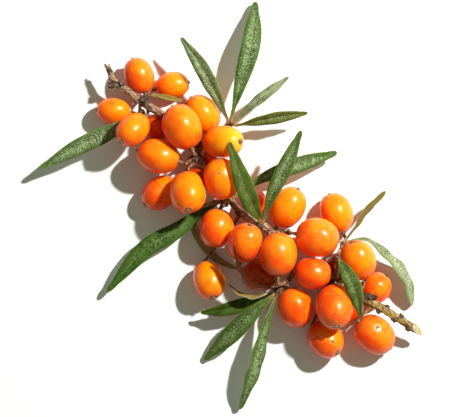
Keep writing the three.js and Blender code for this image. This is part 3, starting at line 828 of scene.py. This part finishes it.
def model_collar(material):
    """The end of a berry's stalk: a short peg that widens into the berry."""
    deselect()
    bpy.ops.mesh.primitive_cylinder_add(vertices=14, radius=COLLAR_R, depth=COLLAR_LENGTH)
    collar = added("blank_collar")
    with whole_mesh_open(collar):
        bpy.ops.mesh.subdivide(number_cuts=3)
    points = points_of(collar)
    share = points[:, 2] / COLLAR_LENGTH + 0.5
    points[:, :2] *= (0.92 + 0.5 * share ** 3)[:, None]
    points[:, 2] -= COLLAR_DROP
    set_points(collar, points)
    bpy.ops.object.shade_smooth()
    collar.data.materials.append(material)
    return collar


def pressed(points, origin, way, limit):
    """Points pushed back behind a plane `limit` away from the origin, with a soft edge."""
    beyond = (points - origin) @ way - limit
    kept = -PRESS_ROUNDING * np.log1p(np.exp(-np.clip(beyond / PRESS_ROUNDING, -60, 60)))
    kept = np.where(beyond < -60 * PRESS_ROUNDING, beyond, kept)
    return points + np.outer(kept - beyond, way)


def shape_skin(piece, form, others, wood, seed):
    """Gives a blank skin its berry's size, waves, dimple and flats, and notes where they are."""
    points = points_of(piece)
    height = points[:, 2].copy()
    points *= np.array([form.width, form.width, form.length]) / 2
    swell = BERRY_LUMPS * form.width * waves(points, BERRY_WAVE, seed)
    away = spans(points[:, :2])
    dimple = np.exp(-((away / DIMPLE_REACH) ** 2))
    rim = np.exp(-(((away - 1.5 * DIMPLE_REACH) / (0.7 * DIMPLE_REACH)) ** 2))
    outer, inner = height > 0, height < 0
    points *= (1 + swell / (form.width / 2))[:, None]
    points[:, 2] -= outer * (DIMPLE_DEPTH * dimple - DIMPLE_RIM * rim)
    points[:, 2] += inner * 0.7 * DIMPLE_DEPTH * dimple
    matrix = np.array(form.upright())
    points = points @ matrix[:3, :3].T + matrix[:3, 3]
    for other in others:
        gap = other.centre - form.centre
        distance = np.linalg.norm(gap)
        way = gap / distance
        own, theirs = form.skin_along(way), other.skin_along(way)
        if own + theirs > distance - 2 * PRESS_ROUNDING:
            points = pressed(points, form.centre, way, distance * own / (own + theirs) - PRESS_AIR)
    points = pressed(points, np.zeros(3), np.array([0, 0, -1.0]), 0)
    points = cleared(points, form.centre, wood)
    set_points(piece, points)
    hollow = outer * smooth_step(away, HOLLOW_R + 0.2 * MM, HOLLOW_R - 0.15 * MM)
    halo = outer * smooth_step(away, HALO_R + 0.3 * MM, HALO_R - 0.1 * MM)
    out = points - form.centre
    # painted shade: 1 on the side of the skin turned away from the key light, 0 on the side towards
    # it
    blush = smooth_step(out @ SHADED_WAY / spans(out), -1.05, 0.35)
    note(piece, toward_star=height, toward_end=np.abs(height), blush=blush, star_halo=halo,
         star_hollow=hollow)


def cleared(points, centre, wood):
    """Points pulled in towards the centre to where a ray from it meets the wood."""
    middle = Vector(centre)
    result = points.copy()
    for i, point in enumerate(points):
        ray = Vector(point) - middle
        hit, _, _, distance = wood.ray_cast(middle, ray.normalized(), ray.length + STEM_AIR)
        if hit is not None:
            result[i] = middle + ray.normalized() * max(distance - STEM_AIR, 0.4 * ray.length)
    return result


def note_scar(skin, node, form):
    """Notes how near each point is to the middle of its berry's pit, from 0 to 1."""
    points = points_of(skin)
    east, north, reach, pale = SCARS.get(number_of(node), NO_SCAR)
    gap = spans(points[:, :2] - form.centre[:2] - (east, north))
    near = np.clip(1 - gap / reach, 0, 1) * (points[:, 2] > form.centre[2])
    note(skin, scar=near, scar_rim=pale)


def grow_berry(node, form, others, wood, blanks, seed):
    blank_skin, *blank_ends = blanks
    skin = copied(blank_skin, "ripe_" + node)
    shape_skin(skin, form, others, wood, seed)
    note_scar(skin, node, form)
    red, dull = BERRY_SKINS[number_of(node)]
    note(skin, red=red, dull=dull)
    turn = Matrix.Rotation(seed * 2.4, 4, "Z")
    ends = []
    heights = form.length / 2 - STAR_SINK, -form.length / 2 - COLLAR_AIR
    for blank, height in zip(blank_ends, heights):
        end = copied(blank, "end")
        end.data.transform(form.upright() @ Matrix.Translation((0, 0, height)) @ turn)
        ends.append(end)
    finished(joined([skin, *ends]), node)


class SPRIG_OT_berries(Operator):
    """Grows a glossy skin, a dried star and a stalk end over each berry's solid"""

    bl_idname = "sprig.berries"
    bl_label = "Berries"

    def execute(self, context):
        look = context.scene.sprig.berries
        forms = {node: BerryForm(node) for node in nodes_of("berry")}
        wood = solid_tree("stem")
        blanks = [
            model_blank_berry(skin_finish(look)),
            model_star(look, star_finish()),
            model_collar(collar_finish()),
        ]
        for i, (node, form) in enumerate(forms.items()):
            others = [other for other in forms.values() if other is not form]
            grow_berry(node, form, others, wood, blanks, context.scene.sprig.stage.seed + i)
        for blank in blanks:
            bpy.data.objects.remove(blank)
        return {"FINISHED"}


# ---- leaves


def model_blank_blade(upper, under):
    """The flat sheet that each leaf starts from: one unit long in X and wide in Y."""
    deselect()
    bpy.ops.mesh.primitive_grid_add(
        x_subdivisions=BLADE_STEPS, y_subdivisions=BLADE_COLUMNS, size=1)
    blank = added("blank_blade")
    blank.data.materials.append(upper)
    blank.data.materials.append(under)
    return blank


def stalk_start(form, wood):
    """Where a leaf's stalk comes out of the bark, and the bow it takes to the blade's base."""
    base = Vector(form.middles[0])
    heading = (Vector(form.middles[1]) - base).normalized()
    near, _, _, distance = wood.find_nearest(base)
    if near is None or distance > PETIOLE_REACH:
        near = base - heading * MM
        distance = MM
    start = near + (near - base).normalized() * PETIOLE_SINK
    bow = base - heading * distance * 0.6
    return np.array(start), np.array(bow)


def shape_blade(piece, form, start, bow, groove, seed):
    """Lays a flat sheet along its leaf's midrib, and notes where each point is on the leaf."""
    flat = points_of(piece)
    wave = random.Random(seed)
    phase, count = wave.uniform(0, ROUND), wave.uniform(2.5, 4.5)
    points = np.empty_like(flat)
    along, across, rim, thick = (np.empty(len(flat)) for _ in range(4))
    stations = {}
    for i, (x, y, _) in enumerate(flat):
        share, sideways = x + 0.5, 2 * y
        if share not in stations:
            stations[share] = blade_row(form, start, bow, share)
        middle, side, up, half = stations[share]
        t = max(0.0, (share - PETIOLE_SHARE) / (1 - PETIOLE_SHARE))
        out = half * abs(sideways)
        fold = BLADE_FOLD * out
        curl = -BLADE_CURL * half * sideways ** 4 * min(1, 4 * t)
        swing = math.sin(phase + count * ROUND * t + 1.5 * np.sign(sideways))
        ripple = BLADE_RIPPLE * half * sideways ** 2 * swing
        dip = -groove * math.exp(-((out / GROOVE_HALF) ** 2)) * min(1, 5 * t) * (1 - t)
        points[i] = middle + side * half * sideways + up * (fold + curl + ripple + dip)
        along[i], across[i], rim[i] = share, out, half - out
        spine = math.exp(-((out / SPINE_HALF) ** 2)) * (1 - 0.75 * t)
        thick[i] = max(THIN_EDGE, spine) if t > 0 else 1.0
    set_points(piece, points)
    note(piece, along=along, across=across, rim=rim)
    group = piece.vertex_groups.new(name="thick")
    for i, weight in enumerate(thick):
        group.add([i], weight, "REPLACE")


def tip_rounded(halves, t):
    """A blade's half width, whose last stretch closes in a rounded tip."""
    last = 1 - 1 / (len(halves) - 1)
    if t <= last:
        return max(smooth_between(halves, t), NARROWEST)
    past = (t - last) / (1 - last)
    return max(halves[-2] * (1 - past ** 2) ** 0.65, NARROWEST)


def blade_row(form, start, bow, share):
    """Middle, side, up and half width of a leaf's row at a share of its length, stalk included."""
    t = max(0.0, (share - PETIOLE_SHARE) / (1 - PETIOLE_SHARE))
    side, up = smooth_between(form.sides, t), smooth_between(form.ups, t)
    middle, half = smooth_between(form.middles, t), tip_rounded(form.halves, t)
    if share < PETIOLE_SHARE:
        back = share / PETIOLE_SHARE
        middle = (1 - back) ** 2 * start + 2 * back * (1 - back) * bow + back ** 2 * middle
        half = PETIOLE_HALF + (half - PETIOLE_HALF) * back ** 2
    return middle, side / np.linalg.norm(side), up / np.linalg.norm(up), half


def grow_leaf(node, look, wood, blank, seed):
    form = LeafForm(node)
    leaf = copied(blank, "scurfy_" + node)
    start, bow = stalk_start(form, wood)
    shape_blade(leaf, form, start, bow, look.groove, seed)
    note(leaf, **dict(zip(("pale", "olive", "ribbed", "brown"), LEAF_TONES[number_of(node)])))
    apply_modifier(
        leaf, "SOLIDIFY", thickness=look.thickness, offset=0, vertex_group="thick",
        material_offset=1, material_offset_rim=1)
    bpy.ops.object.shade_smooth()
    finished(leaf, node)


class SPRIG_OT_leaves(Operator):
    """Grows a thin scurfy blade with a midrib and a stalk over each leaf's solid"""

    bl_idname = "sprig.leaves"
    bl_label = "Leaves"

    def execute(self, context):
        look = context.scene.sprig.leaves
        wood = solid_tree("stem")
        blank = model_blank_blade(blade_finish(look), underside_finish(look))
        for i, node in enumerate(nodes_of("leaf")):
            grow_leaf(node, look, wood, blank, context.scene.sprig.stage.seed + i)
        bpy.data.objects.remove(blank)
        return {"FINISHED"}


# ---- stem


def merged_copy(node, name):
    """A copy of a solid whose points are merged, so that it is one closed skin."""
    piece = copied(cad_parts[node], name)
    piece.parent = None
    for key in list(piece.keys()):
        del piece[key]
    piece.data.materials.clear()
    with whole_mesh_open(piece):
        bpy.ops.mesh.remove_doubles(threshold=0.002 * MM)
    return piece


def cut_plane():
    """A point on the slanted cut: the solid's furthest point that way."""
    points, _ = solid_shape("stem")
    end = points[points[:, 0] > points[:, 0].max() - CUT_STRETCH]
    return Vector(end[np.argmax(end @ np.array(CUT_FACING))])


def roughen(stem, relief, cut):
    """Raises bark scales and cracks along the twig, less on young stalks than on the old wood."""
    points = points_of(stem)
    normals = np.array([v.normal for v in stem.data.vertices])
    young = young_share(points)
    before_cut = (np.array(cut) - points) @ np.array(CUT_FACING)
    height = sum(
        share * waves(points * np.array([drawn, 1, 1]), size, shift)
        for size, share, shift, drawn in BARK_WAVES)
    height = height * relief * (1 - 0.6 * young)
    height *= smooth_step(before_cut, 0.15 * MM, 0.5 * MM)
    set_points(stem, points + normals * height[:, None])
    return young


def young_share(points):
    """1 on the stretch of stalk just behind a berry, 0 further down the wood."""
    nearest = np.full(len(points), 1.0)
    for node in nodes_of("berry"):
        form = BerryForm(node)
        foot = form.centre - form.axis * form.length / 2
        nearest = np.minimum(nearest, spans(points - foot))
    return 1 - smooth_step(nearest, 0.3 * STALK_ZONE, STALK_ZONE)


def bud_places():
    """The middle and radius of each bud."""
    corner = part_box("stem")[0]
    return [(corner + Vector(row[:3]) * MM, row[3] * MM) for row in BUDS]


def knob_share(points):
    """1 on a bud, 0 on the plain twig."""
    share = np.zeros(len(points))
    for middle, radius in bud_places():
        away = spans(points - np.array(middle))
        share = np.maximum(share, smooth_step(away, 1.25 * radius, 0.8 * radius))
    return share


def model_bud_scales(seed):
    """Pointed dry scales that stand off each bud, ready to be grown together with the wood."""
    deselect()
    bpy.ops.mesh.primitive_cone_add(
        vertices=7, radius1=SCALE_FOOT_R, radius2=SCALE_TIP_R, depth=SCALE_LENGTH)
    blank = added("blank_scale")
    pick = random.Random(seed)
    scales = []
    for middle, radius in bud_places():
        for _ in range(BUD_SCALES):
            way = Vector(pick.uniform(low, 1) for low in (-1, -1, -0.1)).normalized()
            turn = Vector((0, 0, 1)).rotation_difference(way).to_matrix().to_4x4()
            scale = copied(blank, "scale")
            scale.data.transform(Matrix.Translation(middle + way * 0.8 * radius) @ turn)
            scales.append(scale)
    bpy.data.objects.remove(blank)
    return scales


def slant_end(stem, point):
    """Cuts the twig's thick end flat again, and gives the cut its own finish."""
    with whole_mesh_open(stem):
        bpy.ops.mesh.bisect(
            plane_co=point, plane_no=CUT_FACING, use_fill=True, clear_outer=True,
            threshold=0.001 * MM)
    for face in stem.data.polygons:
        off_cut = abs((face.center - point).dot(CUT_FACING))
        flat = face.normal.dot(CUT_FACING) > 0.98 and off_cut < 0.02 * MM
        face.material_index = 1 if flat else 0
        face.use_smooth = not flat


class SPRIG_OT_stem(Operator):
    """Grows bark over the woody stem's solid, with dark knobs and a pale slanted cut"""

    bl_idname = "sprig.stem"
    bl_label = "Stem"

    def execute(self, context):
        look = context.scene.sprig.stem
        stem = merged_copy("stem", "bark_stem")
        stem = joined([stem, *model_bud_scales(context.scene.sprig.stage.seed)])
        stem.data.materials.append(bark_finish(look))
        stem.data.materials.append(cut_wood_finish())
        apply_modifier(stem, "REMESH", mode="VOXEL", voxel_size=look.grain, use_smooth_shade=True)
        apply_modifier(stem, "SMOOTH", factor=0.5, iterations=4)
        knob = knob_share(points_of(stem))
        cut = cut_plane()
        young = roughen(stem, look.relief, cut)
        note(stem, knob=knob, young=young)
        slant_end(stem, cut - CUT_FACING * CUT_TRIM)
        finished(stem, "stem")
        return {"FINISHED"}


# ---- stage


class SPRIG_OT_stage(Operator):
    """Lays a plain pale surface, lights it softly and sets the camera straight above"""

    bl_idname = "sprig.stage"
    bl_label = "Surface, light and camera"

    def execute(self, context):
        stage = context.scene.sprig.stage
        deselect()
        bpy.ops.mesh.primitive_plane_add(size=SURFACE_SIDE, location=(0, 0, -SURFACE_DROP))
        surface = added("pale_surface")
        bpy.ops.object.transform_apply()
        surface.data.materials.append(surface_finish())
        low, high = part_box("stem")
        middle = (low + high) / 2
        aim = Vector((middle.x + VIEW_FROM_STEM[0], middle.y + VIEW_FROM_STEM[1], 0))
        self.add_key(stage, aim)
        self.add_sky(context, stage)
        above = aim + Vector((0, 0, stage.distance))
        bpy.ops.object.camera_add(location=above, rotation=(0, 0, VIEW_TURN))
        camera = context.object
        camera.data.lens = camera.data.sensor_width * stage.distance / VIEW_WIDTH
        camera.data.clip_start, camera.data.clip_end = 0.01, 20
        context.scene.camera = camera
        context.scene.view_settings.view_transform = "Standard"
        return {"FINISHED"}

    def add_key(self, stage, aim):
        azimuth, elevation = stage.key_azimuth, stage.key_elevation
        level = math.cos(elevation)
        way = Vector((level * math.cos(azimuth), level * math.sin(azimuth), math.sin(elevation)))
        turn = way.to_track_quat("Z", "Y").to_euler()
        bpy.ops.object.light_add(type="AREA", location=aim + way * KEY_DISTANCE, rotation=turn)
        key = bpy.context.object
        key.data.shape = "DISK"
        key.data.size = stage.key_size
        key.data.energy = stage.key_power

    def add_sky(self, context, stage):
        world = bpy.data.worlds.new("pale sky")
        world.use_nodes = True
        background = world.node_tree.nodes["Background"]
        background.inputs["Color"].default_value = (*stage.sky, 1)
        context.scene.world = world


# ---- add-on


class SPRIG_PT_panel(Panel):
    """Lists the sprig's settings and the steps that make it."""

    bl_idname = "SPRIG_PT_panel"
    bl_label = "Sea buckthorn sprig"
    bl_space_type = "VIEW_3D"
    bl_region_type = "UI"
    bl_category = "Sprig"

    def draw(self, context):
        settings = context.scene.sprig
        for step in ("stem", "berries", "leaves", "stage"):
            box = self.layout.box()
            look = getattr(settings, step)
            for name in type(look).__annotations__:
                box.prop(look, name)
            box.operator("sprig." + step)


CLASSES = (
    BerryLook,
    LeafLook,
    StemLook,
    StageLook,
    SprigSettings,
    SPRIG_OT_stem,
    SPRIG_OT_berries,
    SPRIG_OT_leaves,
    SPRIG_OT_stage,
    SPRIG_PT_panel,
)


def register():
    for cls in CLASSES:
        bpy.utils.register_class(cls)
    bpy.types.Scene.sprig = PointerProperty(type=SprigSettings)


def unregister():
    del bpy.types.Scene.sprig
    for cls in reversed(CLASSES):
        bpy.utils.unregister_class(cls)


def main():
    register()
    bpy.ops.sprig.stem()
    bpy.ops.sprig.berries()
    bpy.ops.sprig.leaves()
    bpy.ops.sprig.stage()


if __name__ == "__main__":
    main()
